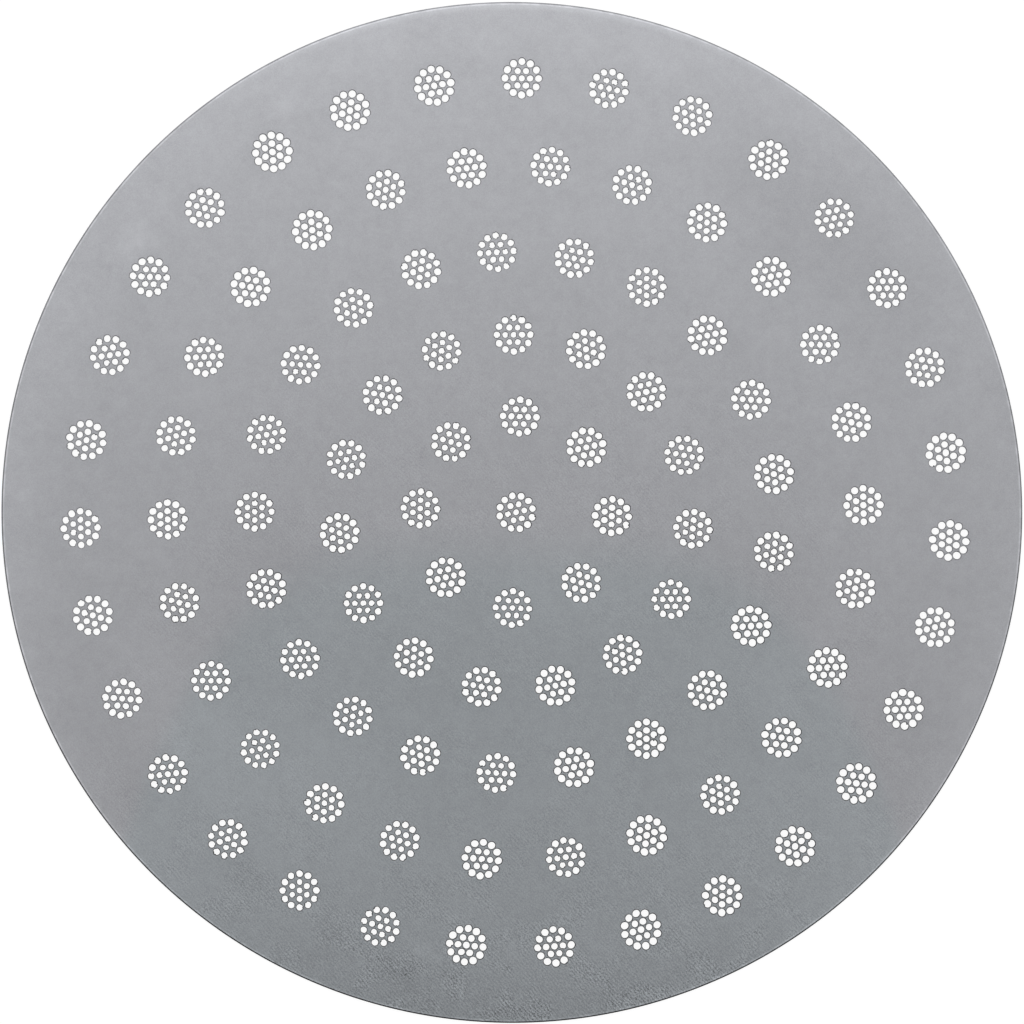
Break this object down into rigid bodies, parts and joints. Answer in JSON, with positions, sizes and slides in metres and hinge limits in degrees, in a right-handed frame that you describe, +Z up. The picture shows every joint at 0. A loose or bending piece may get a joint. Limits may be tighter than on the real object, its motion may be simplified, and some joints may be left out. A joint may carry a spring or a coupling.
{
  "type": "espresso puck screen",
  "caption": "Thin round stainless sheet, etched right through with rings of clusters of fine holes, that lies on ground coffee in a filter basket and spreads the water.",
  "frame": {"origin": "centre of the disc on its underside, the face that lies on the coffee", "axes": "+Z up through the sheet's thickness; +X along the line on which each ring of clusters starts"},
  "size_m": [0.0584, 0.0584, 0.0002],
  "materials": {
    "etched_steel": "matt, fine rolled grain, etched edges"
  },
  "bodies": {
    "root": {"puck_screen": "etched_steel"}
  },
  "joints": []
}
